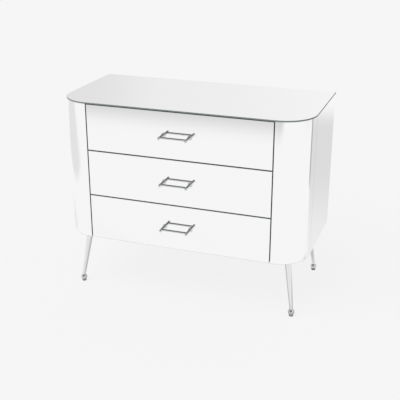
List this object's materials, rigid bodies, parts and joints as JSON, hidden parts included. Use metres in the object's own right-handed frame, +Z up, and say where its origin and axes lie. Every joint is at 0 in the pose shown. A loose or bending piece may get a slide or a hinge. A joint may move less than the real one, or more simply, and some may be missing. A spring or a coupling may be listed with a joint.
{
  "type": "chest of drawers",
  "caption": "Mirrored chest of drawers with a flat mirror top, rounded mirror corners, bar pulls and splayed tapered metal legs on chrome ball feet.",
  "frame": {"origin": "on the floor, at the middle of the chest's own box", "axes": "+X along the width, to the right as seen from the front; +Y towards the back, so the drawers open along -Y; +Z up"},
  "size_m": [1, 0.5437, 0.8],
  "materials": {
    "mirror_glass": "silvered mirror glass with polished edges",
    "lacquered_board": "fibreboard in silver-grey lacquer",
    "drawer_board": "fibreboard with a pale grey foil",
    "satin_steel": "satin, pearl-silver",
    "chrome": "polished chrome plate",
    "grey_rubber": "grey rubber floor pad",
    "zinc_steel": "bright zinc plate"
  },
  "bodies": {
    "cabinet": {"top_glass": "mirror_glass", "left_side_glass": "mirror_glass", "right_side_glass": "mirror_glass", "left_corner_glass": "mirror_glass", "right_corner_glass": "mirror_glass", "top_board": "lacquered_board", "base_board": "lacquered_board", "left_side_board": "lacquered_board", "right_side_board": "lacquered_board", "left_corner_board": "lacquered_board", "right_corner_board": "lacquered_board", "left_upright": "lacquered_board", "right_upright": "lacquered_board", "back_panel": "lacquered_board", "front_legs": "satin_steel", "rear_legs": "satin_steel", "front_feet": "chrome", "rear_feet": "chrome", "front_floor_pads": "grey_rubber", "rear_floor_pads": "grey_rubber", "leg_plates": "zinc_steel", "outer_slides": "zinc_steel"},
    "top_drawer": {"top_drawer_front_mirror": "mirror_glass", "top_drawer_front_board": "lacquered_board", "top_drawer_left_side": "drawer_board", "top_drawer_right_side": "drawer_board", "top_drawer_back": "drawer_board", "top_drawer_bottom": "drawer_board", "top_drawer_inner_slides": "zinc_steel", "top_drawer_pull_bar": "chrome", "top_drawer_pull_posts": "chrome"},
    "top_carriages": {"top_drawer_slide_carriages": "zinc_steel"},
    "middle_drawer": {"middle_drawer_front_mirror": "mirror_glass", "middle_drawer_front_board": "lacquered_board", "middle_drawer_left_side": "drawer_board", "middle_drawer_right_side": "drawer_board", "middle_drawer_back": "drawer_board", "middle_drawer_bottom": "drawer_board", "middle_drawer_inner_slides": "zinc_steel", "middle_drawer_pull_bar": "chrome", "middle_drawer_pull_posts": "chrome"},
    "middle_carriages": {"middle_drawer_slide_carriages": "zinc_steel"},
    "bottom_drawer": {"bottom_drawer_front_mirror": "mirror_glass", "bottom_drawer_front_board": "lacquered_board", "bottom_drawer_left_side": "drawer_board", "bottom_drawer_right_side": "drawer_board", "bottom_drawer_back": "drawer_board", "bottom_drawer_bottom": "drawer_board", "bottom_drawer_inner_slides": "zinc_steel", "bottom_drawer_pull_bar": "chrome", "bottom_drawer_pull_posts": "chrome"},
    "bottom_carriages": {"bottom_drawer_slide_carriages": "zinc_steel"}
  },
  "joints": [
    {"name": "top_drawer_slide", "type": "slide", "parent": "cabinet", "child": "top_drawer", "axis": [0, -1, 0], "range_m": [0, 0.35]},
    {"name": "top_carriage_slide", "type": "slide", "parent": "cabinet", "child": "top_carriages", "axis": [0, -1, 0], "range_m": [0, 0.175]},
    {"name": "middle_drawer_slide", "type": "slide", "parent": "cabinet", "child": "middle_drawer", "axis": [0, -1, 0], "range_m": [0, 0.35]},
    {"name": "middle_carriage_slide", "type": "slide", "parent": "cabinet", "child": "middle_carriages", "axis": [0, -1, 0], "range_m": [0, 0.175]},
    {"name": "bottom_drawer_slide", "type": "slide", "parent": "cabinet", "child": "bottom_drawer", "axis": [0, -1, 0], "range_m": [0, 0.35]},
    {"name": "bottom_carriage_slide", "type": "slide", "parent": "cabinet", "child": "bottom_carriages", "axis": [0, -1, 0], "range_m": [0, 0.175]}
  ],
  "couplings": [
    {"joint": "top_carriage_slide", "follows": "top_drawer_slide", "ratio": 0.5},
    {"joint": "middle_carriage_slide", "follows": "middle_drawer_slide", "ratio": 0.5},
    {"joint": "bottom_carriage_slide", "follows": "bottom_drawer_slide", "ratio": 0.5}
  ]
}
